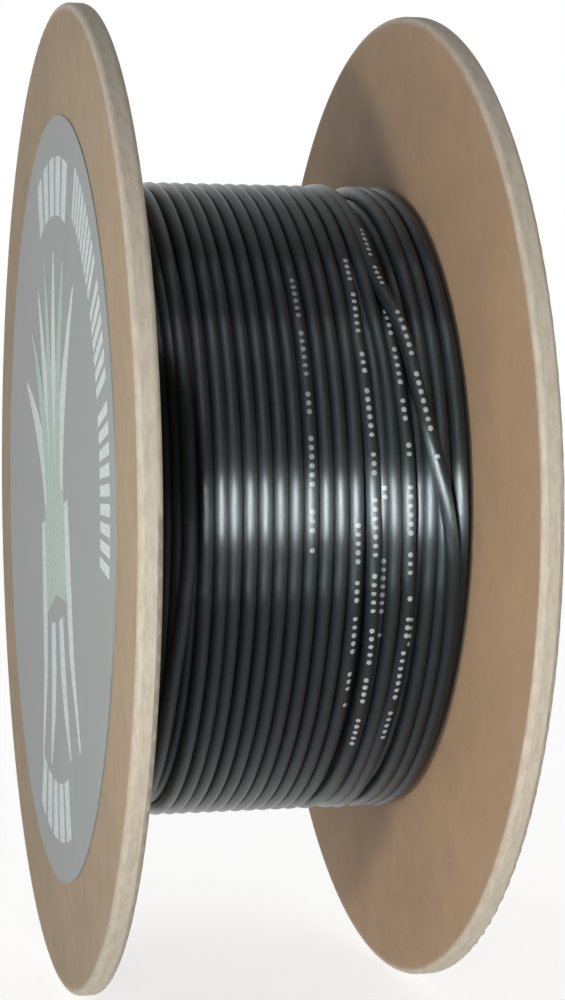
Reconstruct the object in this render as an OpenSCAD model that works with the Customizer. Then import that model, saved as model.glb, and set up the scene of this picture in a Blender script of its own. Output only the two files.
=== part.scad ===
// Wire spool: two round fibreboard flanges on a paper core tube, wound with insulated wire.
// The spool's axis lies along X, the labelled flange is at -X, and Z is up.
// The origin is on the axis, halfway between the flanges. All sizes are in millimetres.

/* [Flanges] */
// Diameter of each flange
flange_d = 152.4; // [130:0.2:200]
// Thickness of each flange board
flange_t = 3.2; // [2.4:0.1:5]
// Rounding of the flange's rim corners
rim_round = 0.8; // [0.3:0.1:1.2]
// Diameter of the arbor hole through the spool
arbor_d = 16; // [12:0.5:26]

/* [Core] */
// Distance between the two flanges, filled by the winding
traverse = 49.6; // [40:0.2:80]
// Outer diameter of the core tube
core_d = 80.8; // [78:0.2:86]
// Inner diameter of the core tube
core_bore_d = 74; // [60:0.2:76]
// Thickness of each wooden plug in the ends of the core tube
plug_t = 12; // [8:0.5:18]
// Gap all round between a plug and the core tube, filled with glue
glue_gap = 0.1; // [0.05:0.05:0.3]

/* [Label] */
// Diameter of the round label
label_d = 119; // [80:1:125]
// Thickness of the label
label_t = 0.2; // [0.1:0.05:0.4]

/* [Staples] */
// Width of a staple's crown
staple_crown = 12.8; // [8:0.2:16]
// Length of a staple's legs below the crown
staple_leg = 12; // [8:0.5:14]
// Thickness of the staple wire
staple_wire = 0.6; // [0.5:0.1:1]
// Width of the staple wire
staple_wide = 1.2; // [0.8:0.1:1.6]
// Distance of the staples from the axis
staple_r = 24; // [20:1:28]

/* [Wire] */
// Outer diameter of the insulated wire
wire_d = 2.1; // [2:0.05:2.15]
// Turns across the full width in every second layer
turns_full = 23; // [22:1:23]
// Turns missing from the label end of the two outermost layers
turns_missing = 3; // [2:1:8]
// Diameter of one copper strand
strand_d = 0.254; // [0.2:0.01:0.26]
// Length of the copper strands that show at each cut end
strand_show = 1.2; // [0.6:0.1:3]

/* [Wire holes] */
// Diameter of the two holes that the wire's ends pass through
wire_hole_d = 6.5; // [6:0.1:7]

/* [Hidden] */

$fn = 96;
inner_x = traverse / 2;              // inner face of either flange
outer_x = inner_x + flange_t;        // outer face of either flange
flange_r = flange_d / 2;
wire_r = wire_d / 2;
pitch = traverse / turns_full;       // from one turn to the next
// Each layer's turns lie in the grooves of the layer below
layer_rise = sqrt(pow(wire_d, 2) - pow(pitch / 2, 2));
bead_sink = 0.3;                     // how far up the turns the solid between them reaches
staple_gap = 0.05;                   // clearance round a staple in the board and plug
staple_angles = [45, 135, 225, 315];

function layer_r(n) = core_d / 2 + wire_r + (n - 1) * layer_rise;
// Odd layers start half a turn in from the flange, and even layers start against it
function turn_x(n, i) = -inner_x + (i + (n % 2 == 1 ? 1 : 0.5)) * pitch;

// The two routes below are rows of [x, distance from the axis, angle].
// Angle 0 is the front (-Y), 90 is the top and 180 is the back.
// The last wrap leaves the outermost layer's last turn at the front, swings out towards the label
// flange and climbs over the layer at the back. It lies between the turns at the top, crosses over
// them at the front, runs beside the plain flange and goes out through that flange's tail hole.
last_wrap_route = [
    [-16.2, 48.7, 358], [-16.2, 48.7, 352], [-16.8, 48.7, 341], [-17.4, 48.7, 330], [-17.6, 48.7, 312],
    [-17.6, 48.8, 290], [-17.2, 49.1, 268], [-16, 49.8, 248], [-13.8, 50.4, 228], [-11, 50.6, 208],
    [-6, 50.6, 184], [-0.6, 50.6, 158], [4.8, 50.6, 134], [9.2, 50.6, 116], [12, 50.3, 104],
    [13.3, 49.4, 94], [13.5, 48.9, 85], [13.5, 48.8, 70], [13.5, 48.8, 52], [13.7, 49, 43],
    [14.2, 49.9, 37], [15.1, 50.7, 31.5], [15.9, 50.7, 26], [16.6, 50.6, 20], [17.5, 50.6, 14],
    [18.7, 50.6, 7.5], [20, 50.6, 0.5], [20.9, 50.4, -6], [21.6, 49.8, -14], [22.1, 49.1, -24],
    [22.2, 48.8, -36], [22.2, 48.8, -60], [22.2, 48.8, -88], [22.4, 48.9, -108], [22.9, 49.3, -121],
    [23.4, 49.9, -129.5], [23.8, 50.3, -133.4], [24.6, 50.4, -135.6], [26.2, 50.5, -137.4],
    [27.8, 50.6, -138.8], [28.8, 50.7, -140.8], [29.2, 50.9, -143.2], [29.2, 51.2, -147],
    [29.2, 52, -153], [29.2, 53.6, -160], [29.2, 55.8, -167]
];
// The start lead comes out of the innermost layer through the plain flange's start hole.
start_lead_route = [
    [22.9, 41.7, 30], [23.2, 41.8, 32], [24, 42, 35], [25.2, 42.2, 37.6], [26.8, 42.2, 39.4],
    [28.2, 42.2, 41.4], [29, 42.2, 44.4], [29.2, 42.3, 48], [29.2, 42.7, 54], [29.2, 43.8, 62],
    [29.2, 45.6, 70], [29.2, 47.8, 77]
];
tail_hole = [50.5, -137.5];          // [distance from the axis, angle]
start_hole = [42.3, 38.6];
tube_sides = 8;
ring_turn = 10;                      // degrees between two rings of a tube round the axis

function place(p) = [p[0], -p[1] * cos(p[2]), p[1] * sin(p[2])];

// A smooth curve through the points of a route, as a Catmull-Rom spline
function between(a, b, c, d, t) =
    0.5 * (2 * b + (c - a) * t + (2 * a - 5 * b + 4 * c - d) * t * t + (3 * b - a - 3 * c + d) * t * t * t);
function steps(a, b) = max(1, ceil(abs(a[2] - b[2]) / ring_turn));
function smooth(route) = [
    for (i = [0 : len(route) - 2])
        for (k = [0 : steps(route[i], route[i + 1]) - 1])
            between(route[max(i - 1, 0)], route[i], route[i + 1], route[min(i + 2, len(route) - 1)],
                k / steps(route[i], route[i + 1])),
    route[len(route) - 1]
];
function unit(v) = v / norm(v);
function heading(path, i) = unit(path[min(i + 1, len(path) - 1)] - path[max(i - 1, 0)]);
// Points round the tube at one place: the first is on the side that faces away from the axis
function ring(path, i) =
    let (
        along = heading(path, i),
        out = [0, path[i][1], path[i][2]],
        up = unit(out - (out * along) * along),
        side = cross(along, up)
    )
    [for (k = [0 : tube_sides - 1])
        path[i] + wire_r * (cos(k * 360 / tube_sides) * up + sin(k * 360 / tube_sides) * side)];

module tube(route) {
    path = [for (p = smooth(route)) place(p)];
    rings = len(path);
    points = [for (i = [0 : rings - 1]) each ring(path, i)];
    walls = [
        for (i = [0 : rings - 2])
            for (k = [0 : tube_sides - 1])
                let (n = (k + 1) % tube_sides, a = i * tube_sides, b = a + tube_sides)
                [a + k, b + k, b + n, a + n]
    ];
    first_cap = [for (k = [0 : tube_sides - 1]) k];
    last_cap = [for (k = [tube_sides - 1 : -1 : 0]) (rings - 1) * tube_sides + k];
    polyhedron(points, concat([first_cap], walls, [last_cap]));
}

// Puts a part that is drawn along +X at a distance and an angle round the axis
module around(r, angle) {
    rotate([-angle, 0, 0]) translate([0, -r, 0]) children();
}

module along_x(x0, x1, d) {
    translate([x0, 0, 0]) rotate([0, 90, 0]) cylinder(h = x1 - x0, d = d);
}

// A tube round the axis from x0 to x1
module sleeve(x0, x1, outer_d, inner_d) {
    translate([x0, 0, 0])
        rotate([0, 90, 0])
            rotate_extrude()
                translate([inner_d / 2, 0]) square([(outer_d - inner_d) / 2, x1 - x0]);
}

// Drawn with its crown at x = 0 and its legs along +X; grow makes the hole that it sits in
module staple(grow = 0) {
    wide = staple_wide + 2 * grow;
    thick = staple_wire + 2 * grow;
    crown = staple_crown + 2 * grow;
    translate([-grow, -wide / 2, -crown / 2]) cube([staple_wire + 2 * grow, wide, crown]);
    for (side = [-1, 1])
        translate([-grow, -wide / 2, side * (staple_crown - staple_wire) / 2 - thick / 2])
            cube([staple_leg + 2 * grow, wide, thick]);
}

module staples(grow = 0) {
    for (a = staple_angles) around(staple_r, a) translate([-outer_x, 0, 0]) staple(grow);
}

module flange_profile() {
    core = flange_t - 2 * rim_round;
    square([flange_r - rim_round, flange_t]);
    translate([0, rim_round]) square([flange_r, core]);
    for (y = [rim_round, flange_t - rim_round]) translate([flange_r - rim_round, y]) circle(r = rim_round, $fn = 32);
}

// A flange at the -X end, with its arbor hole and the slots for its staples
module flange() {
    difference() {
        translate([-outer_x, 0, 0]) rotate([0, 90, 0]) rotate_extrude() flange_profile();
        along_x(-outer_x - 1, -inner_x + 1, arbor_d);
        staples(staple_gap);
    }
}

module plug() {
    difference() {
        along_x(-inner_x, -inner_x + plug_t, core_bore_d - 2 * glue_gap);
        along_x(-inner_x - 1, -inner_x + plug_t + 1, arbor_d);
        staples(staple_gap);
    }
}

module wire_hole(spot) {
    around(spot[0], spot[1]) along_x(inner_x - 1, outer_x + 1, wire_hole_d);
}

module label_flange() {
    color("tan") flange();
}

module plain_flange() {
    color("tan")
        difference() {
            mirror([1, 0, 0]) flange();
            wire_hole(tail_hole);
            wire_hole(start_hole);
        }
}

module core_tube() {
    color("burlywood") sleeve(-inner_x, inner_x, core_d, core_bore_d);
}

module label_side_plug() {
    color("wheat") plug();
}

module plain_side_plug() {
    color("wheat") mirror([1, 0, 0]) plug();
}

module label_side_staples() {
    color("silver") staples();
}

module plain_side_staples() {
    color("silver") mirror([1, 0, 0]) staples();
}

module label() {
    color("lightgray") along_x(-outer_x - label_t, -outer_x, label_d);
}

// The outer shape of one buried layer
module layer_sleeve(n) {
    inner = n == 1 ? core_d / 2 : layer_r(n) - layer_rise / 2;
    sleeve(-inner_x, inner_x, 2 * layer_r(n) + layer_rise, 2 * inner);
}

// A row of turns in section, with distance from the axis along the first direction
module turn_row(n, first, last) {
    for (i = [first : last]) translate([layer_r(n), turn_x(n, i)]) circle(r = wire_r, $fn = 32);
}

module span(r0, r1, x0, x1) {
    translate([r0, x0]) square([r1 - r0, x1 - x0]);
}

// A layer that shows: a row of turns from the first that it has to the last that can be seen,
// and a plain sleeve from covered_from, where the next layer hides it
module shown_layer(n, first, last, covered_from) {
    inner = layer_r(n) - layer_rise / 2;
    rotate([0, 90, 0])
        rotate_extrude() {
            span(inner, layer_r(n) + bead_sink, first == 0 ? -inner_x : turn_x(n, first), inner_x);
            if (covered_from < inner_x) span(inner, layer_r(n) + layer_rise / 2, covered_from, inner_x);
            turn_row(n, first, last);
        }
}

module wire_layer_1() {
    color([0.1, 0.1, 0.11]) layer_sleeve(1);
}

module wire_layer_2() {
    color([0.1, 0.1, 0.11]) layer_sleeve(2);
}

// Seen beside the label flange, where the two outermost layers stop short
module wire_layer_3() {
    color([0.1, 0.1, 0.11]) shown_layer(3, 0, turns_missing - 1, turn_x(4, turns_missing));
}

module wire_layer_4() {
    color([0.1, 0.1, 0.11]) shown_layer(4, turns_missing, turns_missing, turn_x(5, turns_missing));
}

module wire_layer_5() {
    color([0.1, 0.1, 0.11]) shown_layer(5, turns_missing, turns_full - 2, inner_x);
}

module wire_last_wrap() {
    color([0.1, 0.1, 0.11]) tube(last_wrap_route);
}

module wire_start_lead() {
    color([0.1, 0.1, 0.11]) tube(start_lead_route);
}

// Copper strands at the cut end of a route: one in the middle and two rings round it
module strands(route) {
    count = len(route);
    end = place(route[count - 1]);
    along = unit(end - place(between(route[count - 3], route[count - 2], route[count - 1], route[count - 1], 0.9)));
    translate(end)
        rotate([0, acos(along[2]), atan2(along[1], along[0])]) {
            cylinder(h = strand_show, d = strand_d, $fn = 16);
            for (lay = [[5, 0.3], [10, 0.56]])
                for (k = [0 : lay[0] - 1])
                    rotate([0, 0, k * 360 / lay[0]])
                        translate([lay[1], 0, 0]) cylinder(h = strand_show, d = strand_d, $fn = 16);
        }
}

module tail_strands() {
    color("peru") strands(last_wrap_route);
}

module start_strands() {
    color("peru") strands(start_lead_route);
}

label_flange();
plain_flange();
core_tube();
label_side_plug();
plain_side_plug();
label_side_staples();
plain_side_staples();
label();
wire_layer_1();
wire_layer_2();
wire_layer_3();
wire_layer_4();
wire_layer_5();
wire_last_wrap();
wire_start_lead();
tail_strands();
start_strands();
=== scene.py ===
"""Looks of the wire spool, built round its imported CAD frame. Everything is in metres.

The spool's axis lies along X, the labelled flange is at -X and Z is up. Places round the axis are given as
(x, distance from the axis, angle), where angle 0 is the front (-Y), 90 the top and 180 the back.
"""

import math
import random

import bmesh
import bpy
from mathutils import Matrix, Vector, noise


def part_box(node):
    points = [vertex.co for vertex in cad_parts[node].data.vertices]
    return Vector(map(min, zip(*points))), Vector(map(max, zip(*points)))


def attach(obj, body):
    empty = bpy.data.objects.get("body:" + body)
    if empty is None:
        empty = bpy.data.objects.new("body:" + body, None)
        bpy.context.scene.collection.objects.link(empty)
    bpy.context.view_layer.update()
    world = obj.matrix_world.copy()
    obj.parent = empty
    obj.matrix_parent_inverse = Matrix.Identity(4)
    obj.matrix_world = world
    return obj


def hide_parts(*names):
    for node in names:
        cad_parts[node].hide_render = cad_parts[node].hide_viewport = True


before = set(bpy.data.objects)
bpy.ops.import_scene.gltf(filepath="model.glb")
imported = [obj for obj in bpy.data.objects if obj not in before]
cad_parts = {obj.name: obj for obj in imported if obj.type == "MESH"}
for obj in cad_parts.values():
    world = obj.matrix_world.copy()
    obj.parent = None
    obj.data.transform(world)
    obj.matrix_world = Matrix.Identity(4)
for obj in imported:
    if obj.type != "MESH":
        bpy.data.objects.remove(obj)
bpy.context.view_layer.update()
MM = 0.001

# ---------------------------------------------------------------- sizes, from the frame
INNER_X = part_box("core_tube")[1].x  # inner faces of the flanges
OUTER_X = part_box("plain_flange")[1].x  # outer faces of the flanges
FLANGE_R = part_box("plain_flange")[1].z
LABEL_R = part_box("label")[1].z
LABEL_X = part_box("label")[0].x  # outer face of the label

WIRE_D = 2.1 * MM
WIRE_R = WIRE_D / 2
TURNS_FULL = 23  # in layers that start against a flange; the others have one turn fewer
TURNS_MISSING = 3  # at the label end of the two outermost layers
LAYERS = 5
PITCH = 2 * INNER_X / TURNS_FULL
LAYER_RISE = math.sqrt(WIRE_D**2 - (PITCH / 2) ** 2)
TOP_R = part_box("wire_layer_5")[1].z - WIRE_R  # centre line of the outermost layer

# The wire's two free stretches, as in the CAD, as rows of (x mm, distance from the axis mm, angle)
LAST_WRAP_ROUTE = [
    (-16.2, 48.7, 358), (-16.2, 48.7, 352), (-16.8, 48.7, 341), (-17.4, 48.7, 330), (-17.6, 48.7, 312),
    (-17.6, 48.8, 290), (-17.2, 49.1, 268), (-16, 49.8, 248), (-13.8, 50.4, 228), (-11, 50.6, 208),
    (-6, 50.6, 184), (-0.6, 50.6, 158), (4.8, 50.6, 134), (9.2, 50.6, 116), (12, 50.3, 104),
    (13.3, 49.4, 94), (13.5, 48.9, 85), (13.5, 48.8, 70), (13.5, 48.8, 52), (13.7, 49, 43),
    (14.2, 49.9, 37), (15.1, 50.7, 31.5), (15.9, 50.7, 26), (16.6, 50.6, 20), (17.5, 50.6, 14),
    (18.7, 50.6, 7.5), (20, 50.6, 0.5), (20.9, 50.4, -6), (21.6, 49.8, -14), (22.1, 49.1, -24),
    (22.2, 48.8, -36), (22.2, 48.8, -60), (22.2, 48.8, -88), (22.4, 48.9, -108), (22.9, 49.3, -121),
    (23.4, 49.9, -129.5), (23.8, 50.3, -133.4), (24.6, 50.4, -135.6), (26.2, 50.5, -137.4),
    (27.8, 50.6, -138.8), (28.8, 50.7, -140.8), (29.2, 50.9, -143.2), (29.2, 51.2, -147),
    (29.2, 52, -153), (29.2, 53.6, -160), (29.2, 55.8, -167),
]
START_LEAD_ROUTE = [
    (22.9, 41.7, 30), (23.2, 41.8, 32), (24, 42, 35), (25.2, 42.2, 37.6), (26.8, 42.2, 39.4),
    (28.2, 42.2, 41.4), (29, 42.2, 44.4), (29.2, 42.3, 48), (29.2, 42.7, 54), (29.2, 43.8, 62),
    (29.2, 45.6, 70), (29.2, 47.8, 77),
]


def place(x, r, angle):
    a = math.radians(angle)
    return Vector((x, -r * math.cos(a), r * math.sin(a)))


def smoothstep(t):
    t = min(1.0, max(0.0, t))
    return t * t * (3 - 2 * t)


# ---------------------------------------------------------------- camera
# Nearly level, in front of the spool and to the label's side
CAMERA_AT = Vector((-74.4, -343.4, 10.5)) * MM
CAMERA_YAW, CAMERA_PITCH, CAMERA_ROLL = -13.60, -1.78, 0.22  # degrees
CAMERA_LENS = 79.1


def make_camera():
    camera = bpy.data.objects.new("camera", bpy.data.cameras.new("camera"))
    camera.data.lens = CAMERA_LENS
    camera.data.clip_start = 0.01
    turn = (
        Matrix.Rotation(math.radians(CAMERA_YAW), 4, "Z")
        @ Matrix.Rotation(math.radians(CAMERA_PITCH), 4, "X")
        @ Matrix.Rotation(math.radians(CAMERA_ROLL), 4, "Y")
    )
    look_along_y = Matrix.Rotation(math.radians(90), 4, "X")
    camera.matrix_world = Matrix.Translation(CAMERA_AT) @ turn @ look_along_y
    bpy.context.scene.collection.objects.link(camera)
    bpy.context.scene.camera = camera


make_camera()


# ---------------------------------------------------------------- meshes
def mesh_piece(name, verts, faces, material, smooth=True):
    mesh = bpy.data.meshes.new(name)
    mesh.from_pydata(verts, [], faces)
    mesh.update()
    if smooth:
        mesh.polygons.foreach_set("use_smooth", [True] * len(mesh.polygons))
    mesh.materials.append(material)
    obj = bpy.data.objects.new(name, mesh)
    bpy.context.scene.collection.objects.link(obj)
    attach(obj, "root")
    return obj


# ---------------------------------------------------------------- materials
def add(tree, kind, inputs=None, **settings):
    """A node; each input is a value, or a socket to link from."""
    node = tree.nodes.new("ShaderNode" + kind)
    for key, value in settings.items():
        setattr(node, key, value)
    for key, value in (inputs or {}).items():
        if isinstance(value, bpy.types.NodeSocket):
            tree.links.new(value, node.inputs[key])
        else:
            node.inputs[key].default_value = value
    return node


def new_material(name, roughness, **sockets):
    """A material and its node tree, shader and object coordinates."""
    material = bpy.data.materials.new(name)
    material.use_nodes = True
    tree = material.node_tree
    shader = tree.nodes["Principled BSDF"]
    shader.inputs["Roughness"].default_value = roughness
    for key, value in sockets.items():
        shader.inputs[key.replace("_", " ")].default_value = value
    coords = add(tree, "TexCoord").outputs["Object"]
    return material, tree, shader, coords


def noise_tex(tree, vector, size, detail=3.0, rough=0.55):
    """Noise whose blotches are about size metres across."""
    inputs = {"Vector": vector, "Scale": 1 / size, "Detail": detail, "Roughness": rough}
    return add(tree, "TexNoise", inputs).outputs["Fac"]


def remap(tree, value, low, high, to_low=0.0, to_high=1.0):
    inputs = {"Value": value, "From Min": low, "From Max": high, "To Min": to_low, "To Max": to_high}
    return add(tree, "MapRange", inputs).outputs["Result"]


def mix(tree, factor, a, b):
    return add(tree, "Mix", {0: factor, 6: a, 7: b}, data_type="RGBA").outputs[2]


def calc(tree, operation, a, b=0.0):
    return add(tree, "Math", {0: a, 1: b}, operation=operation).outputs[0]


def bump(tree, shader, height, distance, strength):
    inputs = {"Height": height, "Distance": distance, "Strength": strength}
    tree.links.new(add(tree, "Bump", inputs).outputs["Normal"], shader.inputs["Normal"])


def axis_distance(tree, coords):
    """Distance from the spool's axis."""
    parts = add(tree, "SeparateXYZ", {0: coords})
    flat = add(tree, "CombineXYZ", {1: parts.outputs[1], 2: parts.outputs[2]})
    return add(tree, "VectorMath", {0: flat.outputs[0]}, operation="LENGTH").outputs["Value"]


def srgb(r, g, b):
    """A colour given in 0-255 display values, as linear RGBA."""
    def linear(c):
        c /= 255
        return c / 12.92 if c <= 0.04045 else ((c + 0.055) / 1.055) ** 2.4

    return (linear(r), linear(g), linear(b), 1.0)


def fibreboard(name, tan):
    """Pressed board: mottled faces round a tan, and a paler cut rim with fine fibres along it."""
    shades = {share: srgb(*(c * share for c in tan)) for share in (0.95, 1, 1.08, 1.18)}
    material, tree, shader, coords = new_material(name, 0.8)
    cloud = noise_tex(tree, coords, 0.016, 3)
    blotch = noise_tex(tree, coords, 0.0045, 4, 0.6)
    fibre = noise_tex(tree, coords, 0.0011, 5, 0.7)
    face = mix(tree, remap(tree, cloud, 0.35, 0.65), shades[1], shades[1.08])
    face = mix(tree, remap(tree, blotch, 0.52, 0.72, 0, 0.5), face, shades[0.95])
    face = mix(tree, remap(tree, fibre, 0.3, 0.7, 0, 0.3), face, shades[1.18])
    along_rim = add(tree, "Mapping", {"Vector": coords, "Scale": (5.0, 1.0, 1.0)}).outputs[0]
    grain = noise_tex(tree, along_rim, 0.003, 4, 0.65)
    rim = mix(tree, remap(tree, grain, 0.35, 0.7), srgb(179, 169, 152), srgb(161, 149, 130))
    at_rim = remap(tree, axis_distance(tree, coords), FLANGE_R - 1.3 * MM, FLANGE_R - 0.5 * MM)
    tree.links.new(mix(tree, at_rim, face, rim), shader.inputs["Base Color"])
    tree.links.new(remap(tree, blotch, 0.3, 0.7, 0.72, 0.86), shader.inputs["Roughness"])
    bump(tree, shader, calc(tree, "ADD", fibre, blotch), 0.06 * MM, 0.5)
    return material


def label_film():
    """Silver-grey satin film with a very slight unevenness."""
    material, tree, shader, coords = new_material("label_film", 0.5)
    cloud = noise_tex(tree, coords, 0.02, 2)
    grain = noise_tex(tree, coords, 0.0006, 2)
    base = mix(tree, remap(tree, cloud, 0.3, 0.7), srgb(116, 122, 119), srgb(123, 128, 125))
    tree.links.new(base, shader.inputs["Base Color"])
    tree.links.new(remap(tree, cloud, 0.3, 0.7, 0.46, 0.54), shader.inputs["Roughness"])
    bump(tree, shader, grain, 0.01 * MM, 0.4)
    return material


def ink(name, color):
    """Flat print with slight wear."""
    material, tree, shader, coords = new_material(name, 0.5)
    worn = noise_tex(tree, coords, 0.0008, 3)
    faded = tuple(c * 0.75 for c in color[:3]) + (1.0,)
    tree.links.new(mix(tree, remap(tree, worn, 0.45, 0.7), color, faded), shader.inputs["Base Color"])
    return material


def drawn_plastic(name, color, dusty):
    """Extruded PVC or print on it: its gloss is drawn out across the wire by fine lines along it."""
    material, tree, shader, coords = new_material(
        name, 0.34, Anisotropic=1.0, Anisotropic_Rotation=0.25, Specular_Tint=(0.88, 1.0, 1.04, 1.0))
    dull = noise_tex(tree, coords, 0.006, 3)
    dust = noise_tex(tree, coords, 0.0015, 4, 0.7)
    tree.links.new(mix(tree, remap(tree, dust, 0.5, 0.8), color, dusty), shader.inputs["Base Color"])
    tree.links.new(remap(tree, dull, 0.3, 0.7, 0.31, 0.37), shader.inputs["Roughness"])
    along = add(tree, "Tangent", direction_type="RADIAL", axis="X").outputs[0]
    tree.links.new(along, shader.inputs["Tangent"])
    bump(tree, shader, dust, 0.01 * MM, 0.3)
    return material


def kraft_paper():
    """Spiral-wound paper tube."""
    material, tree, shader, coords = new_material("kraft_paper", 0.85)
    parts = add(tree, "SeparateXYZ", {0: coords})
    around = calc(tree, "ARCTAN2", parts.outputs[2], parts.outputs[1])
    turns_per_m = 1 / 0.06
    lean = calc(tree, "MULTIPLY", around, 1 / (2 * math.pi))
    along = calc(tree, "MULTIPLY", parts.outputs[0], turns_per_m)
    seam = calc(tree, "FRACT", calc(tree, "ADD", lean, along))
    fibre = noise_tex(tree, coords, 0.0012, 4, 0.7)
    base = mix(tree, remap(tree, fibre, 0.3, 0.7), srgb(172, 138, 98), srgb(190, 158, 118))
    base = mix(tree, remap(tree, seam, 0.0, 0.03, 0.6, 0), base, srgb(120, 92, 62))
    tree.links.new(base, shader.inputs["Base Color"])
    bump(tree, shader, fibre, 0.05 * MM, 0.5)
    return material


def plug_wood():
    """Raw softwood with growth rings across the plug's face."""
    material, tree, shader, coords = new_material("plug_wood", 0.7)
    bent = add(tree, "Mapping", {"Vector": coords, "Location": (0, 0.05, 0.02)}).outputs[0]
    inputs = {"Vector": bent, "Scale": 120.0, "Distortion": 3.0, "Detail": 2.0}
    rings = add(tree, "TexWave", inputs, wave_type="RINGS", rings_direction="X").outputs["Fac"]
    base = mix(tree, rings, srgb(214, 182, 134), srgb(186, 148, 100))
    tree.links.new(base, shader.inputs["Base Color"])
    bump(tree, shader, rings, 0.05 * MM, 0.4)
    return material


def galvanised_steel():
    material, tree, shader, coords = new_material("galvanised_steel", 0.4, Metallic=1.0)
    dull = noise_tex(tree, coords, 0.002, 4)
    base = mix(tree, remap(tree, dull, 0.3, 0.7), srgb(186, 188, 188), srgb(150, 152, 152))
    tree.links.new(base, shader.inputs["Base Color"])
    tree.links.new(remap(tree, dull, 0.3, 0.7, 0.3, 0.5), shader.inputs["Roughness"])
    return material


def bare_copper():
    material, tree, shader, coords = new_material("bare_copper", 0.3, Metallic=1.0)
    tarnish = noise_tex(tree, coords, 0.0008, 3)
    base = mix(tree, remap(tree, tarnish, 0.4, 0.7), srgb(226, 140, 96), srgb(176, 98, 62))
    tree.links.new(base, shader.inputs["Base Color"])
    return material


def set_material(node, material):
    for material_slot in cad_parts[node].material_slots:
        material_slot.material = material


# ---------------------------------------------------------------- the wire's route
CROSSOVER = 34  # degrees at the back over which a turn moves across to the next place
HIDDEN_STEP, SHOWN_STEP = 9, 3  # degrees between rings of the tube
LEAD_STEP, TAIL_STEP = 0.7 * MM, 0.9 * MM  # the same on the wire's two free stretches
TUBE_SIDES = 12
WANDER = 0.10  # how far any turn wanders sideways, in mm


def layer_r(n):
    return TOP_R - (LAYERS - n) * LAYER_RISE


def turn_x(n, i):
    """Odd layers start half a turn in from the flange, and even layers start against it."""
    return -INNER_X + (i + (1 if n % 2 else 0.5)) * PITCH


def turns():
    """(layer, place in the layer, x, r) of every turn, from the innermost at the plain flange outwards."""
    found = []
    for n in range(1, LAYERS + 1):
        first = TURNS_MISSING if n >= LAYERS - 1 else 0
        count = TURNS_FULL - n % 2
        order = range(first, count) if n % 2 == 0 else range(count - 1, first - 1, -1)
        found += [(n, i, turn_x(n, i), layer_r(n)) for i in order]
    return found


def catmull(a, b, c, d, t):
    return [
        0.5 * (2 * q + (r - p) * t + (2 * p - 5 * q + 4 * r - s) * t * t + (3 * q - p - 3 * r + s) * t**3)
        for p, q, r, s in zip(a, b, c, d)
    ]


def smooth_route(route, spacing):
    """(x, r, angle) along a route, in metres and degrees, about spacing apart."""
    route = [(x * MM, r * MM, angle) for x, r, angle in route]
    last = len(route) - 1
    found = []
    for i in range(last):
        around = [route[max(i - 1, 0)], route[i], route[i + 1], route[min(i + 2, last)]]
        count = max(1, math.ceil((place(*route[i]) - place(*route[i + 1])).length / spacing))
        found += [catmull(*around, k / count) for k in range(count)]
    return found + [list(route[last])]


# Turns of the outermost layer that stray: place in the layer to rows of
# (angle, mm sideways, mm outwards) round the turn
STRAY_TURNS = {
    4: [(0, 0.2, 0)],
    5: [(0, 0.25, 0)],
    15: [
        (110, 0, 0), (60, 0.1, 0), (40, -0.1, 0), (30, -0.4, 0), (20, -0.2, 0), (5, 0.2, 0),
        (-12, 0.45, 0), (-27, 0.85, 0), (-44, 0.9, 0), (-110, 0, 0),
    ],
    16: [
        (110, 0, 0), (80, -0.9, -1.2), (45, -0.9, -1.2), (20, -0.4, -0.8), (5, -0.25, -0.9),
        (-18, -0.1, -1.3), (-30, 0.1, -1.5), (-50, 0, -1.2), (-110, 0, 0),
    ],
    17: [
        (110, 0, 0), (80, -2.0, 0), (45, -2.0, 0), (15, -1.1, 0), (-20, -0.75, 0), (-50, -0.8, 0),
        (-110, 0, 0),
    ],
    18: [
        (118, 0, 0), (98, -1.5, -1.9), (40, -2.0, -1.9), (31, -2.0, -0.2), (20, -1.65, 0.1),
        (8, -1.15, 0.1), (-8, -1.05, 0.1), (-17, -0.7, 0.1), (-30, -1.0, 0.1), (-44, -1.5, 0.2),
        (-110, 0, 0),
    ],
    20: [(0, -0.2, 0)],
    21: [(10, 0, 0), (-8, 0.3, -0.3), (-25, 0.95, -1.6), (-120, 0.95, -1.6), (-155, 0, 0)],
}


def stray(n, i, angle):
    """How far a turn strays sideways and outwards at an angle: wound wire never lies quite true."""
    a = math.radians(angle)
    spot = Vector((math.cos(a) * 0.8, math.sin(a) * 0.8, i * 0.6 + n * 7))
    x, r = WANDER * noise.noise(spot), 0
    if n == LAYERS and i in STRAY_TURNS:
        here = (angle + 180) % 360 - 180
        rows = STRAY_TURNS[i]
        rows = [(180, *rows[0][1:])] + rows + [(-180, *rows[-1][1:])]
        for (a0, x0, r0), (a1, x1, r1) in zip(rows, rows[1:]):
            if a0 >= here >= a1:
                t = smoothstep((a0 - here) / (a0 - a1))
                x, r = x + x0 + (x1 - x0) * t, r + r0 + (r1 - r0) * t
                break
    return x * MM, r * MM


def is_shown(n, i):
    """Whether any of a turn can be seen."""
    if n == LAYERS:
        return True
    return i <= TURNS_MISSING + 1 and n >= LAYERS - 2


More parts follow.
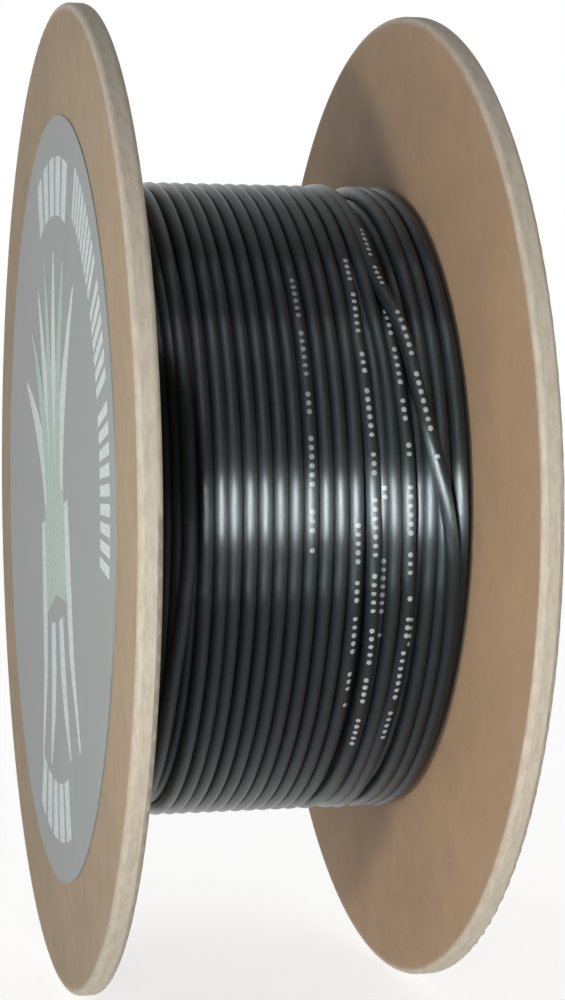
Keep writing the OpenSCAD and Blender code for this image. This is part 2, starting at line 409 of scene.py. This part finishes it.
def wire_stations():
    """(x, r, angle) all along the wire. The angle falls steadily from one end to the other."""
    stations = [tuple(p) for p in reversed(smooth_route(START_LEAD_ROUTE, LEAD_STEP))]
    every = turns()
    half = CROSSOVER / 2
    for k, (n, i, x, r) in enumerate(every):
        step = SHOWN_STEP if is_shown(n, i) else HIDDEN_STEP
        first = stations[-1][2] - HIDDEN_STEP if k == 0 else 180 - 360 * k - half
        final = 180 - 360 * (k + 1) + half
        if k == len(every) - 1:
            final = LAST_WRAP_ROUTE[0][2] - 360 * len(every) + HIDDEN_STEP
        count = math.ceil((first - final) / step)
        for j in range(count + 1):
            angle = first + (final - first) * j / count
            dx, dr = stray(n, i, angle) if is_shown(n, i) else (0, 0)
            stations.append((x + dx, r + dr, angle))
        if k + 1 < len(every):
            x0, r0 = stations[-1][:2]
            next_n, next_i, next_x, next_r = every[k + 1]
            if is_shown(next_n, next_i):
                dx, dr = stray(next_n, next_i, final - CROSSOVER)
                next_x, next_r = next_x + dx, next_r + dr
            count = math.ceil(CROSSOVER / SHOWN_STEP)
            for j in range(1, count):
                angle = final - CROSSOVER * j / count
                t = smoothstep(j / count)
                stations.append((x0 + (next_x - x0) * t, r0 + (next_r - r0) * t, angle))
    tail = smooth_route(LAST_WRAP_ROUTE, TAIL_STEP)
    stations += [(x, r, angle - 360 * len(every)) for x, r, angle in tail]
    return stations


def tube_frames(line):
    """(centre, outward, sideways) at each point of a line, square to it."""
    frames = []
    for i, p in enumerate(line):
        along = (line[min(i + 1, len(line) - 1)] - line[max(i - 1, 0)]).normalized()
        out = Vector((0, p.y, p.z))
        up = (out - along * out.dot(along)).normalized()
        frames.append((p, up, along.cross(up)))
    return frames


def make_wire(material):
    stations = wire_stations()
    line = [place(*s) for s in stations]
    verts, faces = [], []
    for p, up, side in tube_frames(line):
        for k in range(TUBE_SIDES):
            a = 2 * math.pi * k / TUBE_SIDES
            verts.append(p + WIRE_R * (math.cos(a) * up + math.sin(a) * side))
    for i in range(len(line) - 1):
        for k in range(TUBE_SIDES):
            a, b, n = i * TUBE_SIDES, (i + 1) * TUBE_SIDES, (k + 1) % TUBE_SIDES
            faces.append((a + k, b + k, b + n, a + n))
    end = (len(line) - 1) * TUBE_SIDES
    faces.append(tuple(range(TUBE_SIDES)))
    faces.append(tuple(range(end + TUBE_SIDES - 1, end - 1, -1)))
    wire = mesh_piece("wire", verts, faces, material)
    for cap in wire.data.polygons[-2:]:
        cap.use_smooth = False
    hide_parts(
        "wire_layer_1", "wire_layer_2", "wire_layer_3", "wire_layer_4", "wire_layer_5",
        "wire_last_wrap", "wire_start_lead")
    return wire, stations, line


# ---------------------------------------------------------------- print along the wire
# Runs of small plain dots where the printed side of the wire faces out. Each run is (place in the
# outermost layer, first angle, last angle, lean of the print round the wire at each end).
LAST_WRAP = -1
PRINT_RUNS = [
    (LAST_WRAP, 57, 37, -20, 0), (LAST_WRAP, 34, 6, 0, 5), (LAST_WRAP, 200, 130, 0, 30),
    (18, 37, 6, 0, 0), (18, 6, -17, 0, 0), (18, -17, -46, 0, -10), (18, -16, -25, -35, -45),
    (16, 6, 0, 10, 0), (16, -7, -22, 10, 0), (15, 47, -47, -5, 10), (14, 0, -36, 5, -25), (11, 42, -7, 5, 5),
    (13, -100, -160, 20, -20), (9, -110, -163, -15, 15), (7, 160, 100, 0, 25), (18, 150, 100, 10, -20),
]
MARK_WIDE = 0.75 * MM  # across the wire
MARK_LONG = 0.75 * MM  # along the wire
MARK_PITCH = 1.25 * MM
MARK_PROUD = 0.025 * MM
MARK_SINK = 0.06 * WIRE_R  # how far a dot goes into the wire
MARK_SIDES = 10


def make_print(stations, material):
    """Dots of print as thin shells over the wire's surface, each a closed shape."""
    draw = random.Random(11)
    verts, faces = [], []
    outermost = {i: k for k, (n, i, x, r) in enumerate(turns()) if n == LAYERS}
    angles = [s[2] for s in stations]

    def spot(angle):
        low, high = 0, len(angles) - 1
        while high - low > 1:
            mid = (low + high) // 2
            if angles[mid] >= angle:
                low = mid
            else:
                high = mid
        t = (angles[low] - angle) / max(1e-9, angles[low] - angles[high])
        return [p + (q - p) * t for p, q in zip(stations[low], stations[high])]

    def dot(angle, long_deg, lean):
        """One rounded dot, turned by lean degrees round the wire."""
        wide = math.degrees(MARK_WIDE / 2 / WIRE_R)
        base = len(verts)
        for radius in (WIRE_R + MARK_PROUD, WIRE_R - MARK_SINK):
            for k in range(MARK_SIDES + 1):
                turn = 2 * math.pi * k / MARK_SIDES
                reach = 0 if k == MARK_SIDES else 1
                here = angle - long_deg / 2 * reach * math.cos(turn)
                near = [place(*spot(here + shift)) for shift in (0.5, 0, -0.5)]
                p, up, side = tube_frames(near)[1]
                a = math.radians(lean + wide * reach * math.sin(turn))
                verts.append(p + radius * (math.cos(a) * up + math.sin(a) * side))
        under = MARK_SIDES + 1
        middle = base + MARK_SIDES
        for k in range(MARK_SIDES):
            a, b = base + k, base + (k + 1) % MARK_SIDES
            faces.append((middle, a, b))
            faces.append((middle + under, b + under, a + under))
            faces.append((b, a, a + under, b + under))

    for i, first, final, lean_first, lean_final in PRINT_RUNS:
        offset = -360 * (len(turns()) if i == LAST_WRAP else outermost[i])
        long_deg, pitch_deg = (math.degrees(v / TOP_R) for v in (MARK_LONG, MARK_PITCH))
        angle, left = first, 0
        while angle - pitch_deg > final:
            if left == 0:
                left = draw.randint(3, 7)
                angle -= pitch_deg * draw.choice((1.2, 1.4, 2.0))
            t = (first - angle) / (first - final)
            size = long_deg * draw.choice((0.8, 1.0, 1.0))
            dot(angle + offset, size, lean_first + (lean_final - lean_first) * t)
            angle -= pitch_deg
            left -= 1
    marks = mesh_piece("wire_print", verts, faces, material, smooth=False)
    return marks


# ---------------------------------------------------------------- label artwork
INK_T = 0.04 * MM  # thickness of the ink


def flat_shapes(name, outlines, material, step):
    """Closed flat shapes on the label, each a little higher than the one before, from the given step.

    Outlines are (right, up) in metres as one looks at the label.
    """
    bm = bmesh.new()
    for k, outline in enumerate(outlines):
        rank = k % 8 + step  # so that crossing shapes don't share a face
        low_x = LABEL_X + INK_T * (0.1 + 0.01 * rank)
        high_x = LABEL_X - INK_T * (1 + 0.06 * rank)
        lower = [bm.verts.new((low_x, -u, v)) for u, v in outline]
        upper = [bm.verts.new((high_x, -u, v)) for u, v in outline]
        bm.faces.new(upper)
        bm.faces.new(list(reversed(lower)))
        for i in range(len(outline)):
            j = (i + 1) % len(outline)
            bm.faces.new((lower[i], lower[j], upper[j], upper[i]))
    bmesh.ops.recalc_face_normals(bm, faces=bm.faces)
    mesh = bpy.data.meshes.new(name)
    bm.to_mesh(mesh)
    bm.free()
    mesh.materials.append(material)
    obj = bpy.data.objects.new(name, mesh)
    bpy.context.scene.collection.objects.link(obj)
    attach(obj, "root")
    return obj


def stroke(points, widths):
    """Outline of a tapering line through points, with a width at each."""
    left, right = [], []
    last = len(points) - 1
    for i, (u, v) in enumerate(points):
        before, after = points[max(i - 1, 0)], points[min(i + 1, last)]
        du, dv = after[0] - before[0], after[1] - before[1]
        size = math.hypot(du, dv)
        nu, nv = -dv / size * widths[i] / 2, du / size * widths[i] / 2
        left.append((u + nu, v + nv))
        right.append((u - nu, v - nv))
    return left + right[::-1]


def arc_bar(r, thick, first, final):
    """A bar bent round the label's centre; angles run from the top, clockwise."""
    count = max(2, math.ceil(abs(final - first) / 3))
    ring = [math.radians(first + (final - first) * k / count) for k in range(count + 1)]
    outer = [((r + thick / 2) * math.sin(a), (r + thick / 2) * math.cos(a)) for a in ring]
    inner = [((r - thick / 2) * math.sin(a), (r - thick / 2) * math.cos(a)) for a in ring]
    return outer + inner[::-1]


def turned(outline, angle):
    """An outline in mm, turned clockwise round the label's centre and put in metres."""
    c, s = math.cos(math.radians(angle)), math.sin(math.radians(angle))
    return [((u * c + v * s) * MM, (v * c - u * s) * MM) for u, v in outline]


def strand_curve(lean, length):
    """Points of a strand that leaves the sleeve and bends outwards, by lean, as it rises."""
    return [(lean * (0.28 + 0.72 * (t / 10) ** 1.8), length * t / 10) for t in range(11)]


def make_label_art(white, green):
    """A cut wire end with its strands fanned out, in a ring of plain ticks: no lettering."""
    draw = random.Random(5)
    ticks = []
    first_tick, last_tick = 27, 99  # degrees from the top
    angle = first_tick
    while angle < last_tick:
        for k in range(draw.choice((4, 6, 9))):
            ticks.append(arc_bar(LABEL_R * 0.86, 8 * MM, angle, angle + 1.8))
            angle += 2.9
        angle += 2.0
    for middle in (0, 180):
        for shift in (-16, -8, 0, 8, 16):
            ticks.append(arc_bar(LABEL_R * 0.82, 9 * MM, middle + shift - 2.8, middle + shift + 2.8))
    flat_shapes("label_ticks", ticks, white, 0)
    lean_of_emblem = -9
    taper = [5.5] * 5 + [5.2, 4.6, 3.8, 3.0, 2.0, 0.8]
    fan = [(-30, 24), (-21, 31), (-12, 36), (-3, 39), (7, 38), (17, 34), (27, 28)]
    strands = [strand_curve(lean, length) for lean, length in fan]
    sleeve = [(-11, 0), (0, 2.5), (11, 0), (11, -17), (0, -15), (-11, -17)]
    jacket = []
    for edge in ([(13, -2), (13.5, -14), (15, -26), (21, -40)], [(4.5, -19), (5, -26), (7, -33), (11, -41)]):
        jacket += [[(side * u, v) for u, v in edge] for side in (-1, 1)]
    whites = [stroke(c, taper) for c in strands[::2]] + [stroke(j, [4, 5, 4, 1.2]) for j in jacket]
    greens = [stroke(c, taper) for c in strands[1::2]] + [sleeve]
    flat_shapes("label_emblem_white", [turned(o, lean_of_emblem) for o in whites], white, 1)
    flat_shapes("label_emblem_green", [turned(o, lean_of_emblem) for o in greens], green, 9)


# ---------------------------------------------------------------- the studio
def make_floor():
    material, tree, shader, coords = new_material(
        "floor_paper", 0.9, Emission_Color=(1.0, 1.0, 1.0, 1.0), Emission_Strength=0.72)
    shade = noise_tex(tree, coords, 0.4, 2)
    tone = mix(tree, shade, (0.54, 0.54, 0.54, 1), (0.56, 0.56, 0.56, 1))
    tree.links.new(tone, shader.inputs["Base Color"])
    half, z = 6.0, -FLANGE_R
    mesh = bpy.data.meshes.new("floor")
    corners = [(-half, -half, z), (half, -half, z), (half, half, z), (-half, half, z)]
    mesh.from_pydata(corners, [], [(0, 1, 2, 3)])
    mesh.materials.append(material)
    floor = bpy.data.objects.new("floor", mesh)
    bpy.context.scene.collection.objects.link(floor)


def area_light(name, at, look_at, size, power, gloss=True, diffuse=True, spread=180):
    data = bpy.data.lights.new(name, "AREA")
    data.shape = "RECTANGLE"
    data.size, data.size_y = size
    data.energy = power
    data.spread = math.radians(spread)
    light = bpy.data.objects.new(name, data)
    light.location = at
    light.rotation_euler = (Vector(look_at) - Vector(at)).to_track_quat("-Z", "Y").to_euler()
    light.visible_camera = False
    light.visible_diffuse = diffuse
    light.visible_glossy = gloss
    bpy.context.scene.collection.objects.link(light)
    return light


def make_world():
    """White near the horizon behind the spool, dimmer overhead and in front."""
    world = bpy.data.worlds.new("studio")
    world.use_nodes = True
    tree = world.node_tree
    toward = add(tree, "SeparateXYZ", {0: add(tree, "TexCoord").outputs["Generated"]})
    overhead = remap(tree, toward.outputs[2], 0.26, 0.65, 1.0, 0.5)
    in_front = remap(tree, toward.outputs[1], -0.3, 0.4, 0.3, 1.0)
    background = tree.nodes["Background"]
    background.inputs["Color"].default_value = (1.0, 1.0, 1.0, 1.0)
    tree.links.new(calc(tree, "MULTIPLY", overhead, in_front), background.inputs["Strength"])
    bpy.context.scene.world = world


def make_studio():
    make_floor()
    make_world()
    # A softbox at the camera's left makes the bright band across the turns. Dim strips behind it,
    # overhead and low over the floor make the line up and down each turn.
    band_at, band_to = (-0.163, -0.38, -0.014), (0, -0.05, -0.014)
    area_light("band_light", band_at, band_to, (0.035, 0.116), 3.6, diffuse=False)
    area_light("line_light", (-0.5, -1.15, 0.75), (0, 0, 0), (0.12, 1.9), 13, diffuse=False)
    area_light("high_line_light", (-0.18, -0.41, 1.2), (0, 0, 0), (0.12, 1.0), 2.2, diffuse=False)
    low_at = (-0.16, -0.36, -0.068)
    low = area_light("low_line_light", low_at, (0, 0, 0), (0.035, 0.5), 0.65, diffuse=False)
    low.rotation_euler = (math.radians(180), 0, math.radians(-24))
    # A narrow beam from further to the left lights the flanges' faces, most at mid-height
    side_at, side_to = (-0.8, -0.85, -0.04), (0.045, -0.05, -0.012)
    area_light("side_light", side_at, side_to, (0.12, 0.12), 0.09, gloss=False, spread=14)


# ---------------------------------------------------------------- putting it together
pvc = drawn_plastic("black_pvc", srgb(17, 23, 27), srgb(26, 33, 37))
wire, stations, line = make_wire(pvc)
wire_print = make_print(stations, drawn_plastic("print_white", srgb(160, 165, 166), srgb(136, 141, 142)))

# Both flanges are the same board: the label flange's darker tan is painted shade, set against the stronger
# light on its open outer face.
set_material("label_flange", fibreboard("label_flange_board_painted_shade", (130, 110, 83)))
set_material("plain_flange", fibreboard("plain_flange_board", (146, 119, 89)))
set_material("core_tube", kraft_paper())
wood = plug_wood()
set_material("label_side_plug", wood)
set_material("plain_side_plug", wood)
steel = galvanised_steel()
set_material("label_side_staples", steel)
set_material("plain_side_staples", steel)
set_material("label", label_film())
copper = bare_copper()
set_material("tail_strands", copper)
set_material("start_strands", copper)
make_label_art(ink("label_white", srgb(180, 190, 189)), ink("label_green", srgb(148, 166, 157)))
make_studio()
bpy.context.scene.view_settings.view_transform = "Standard"
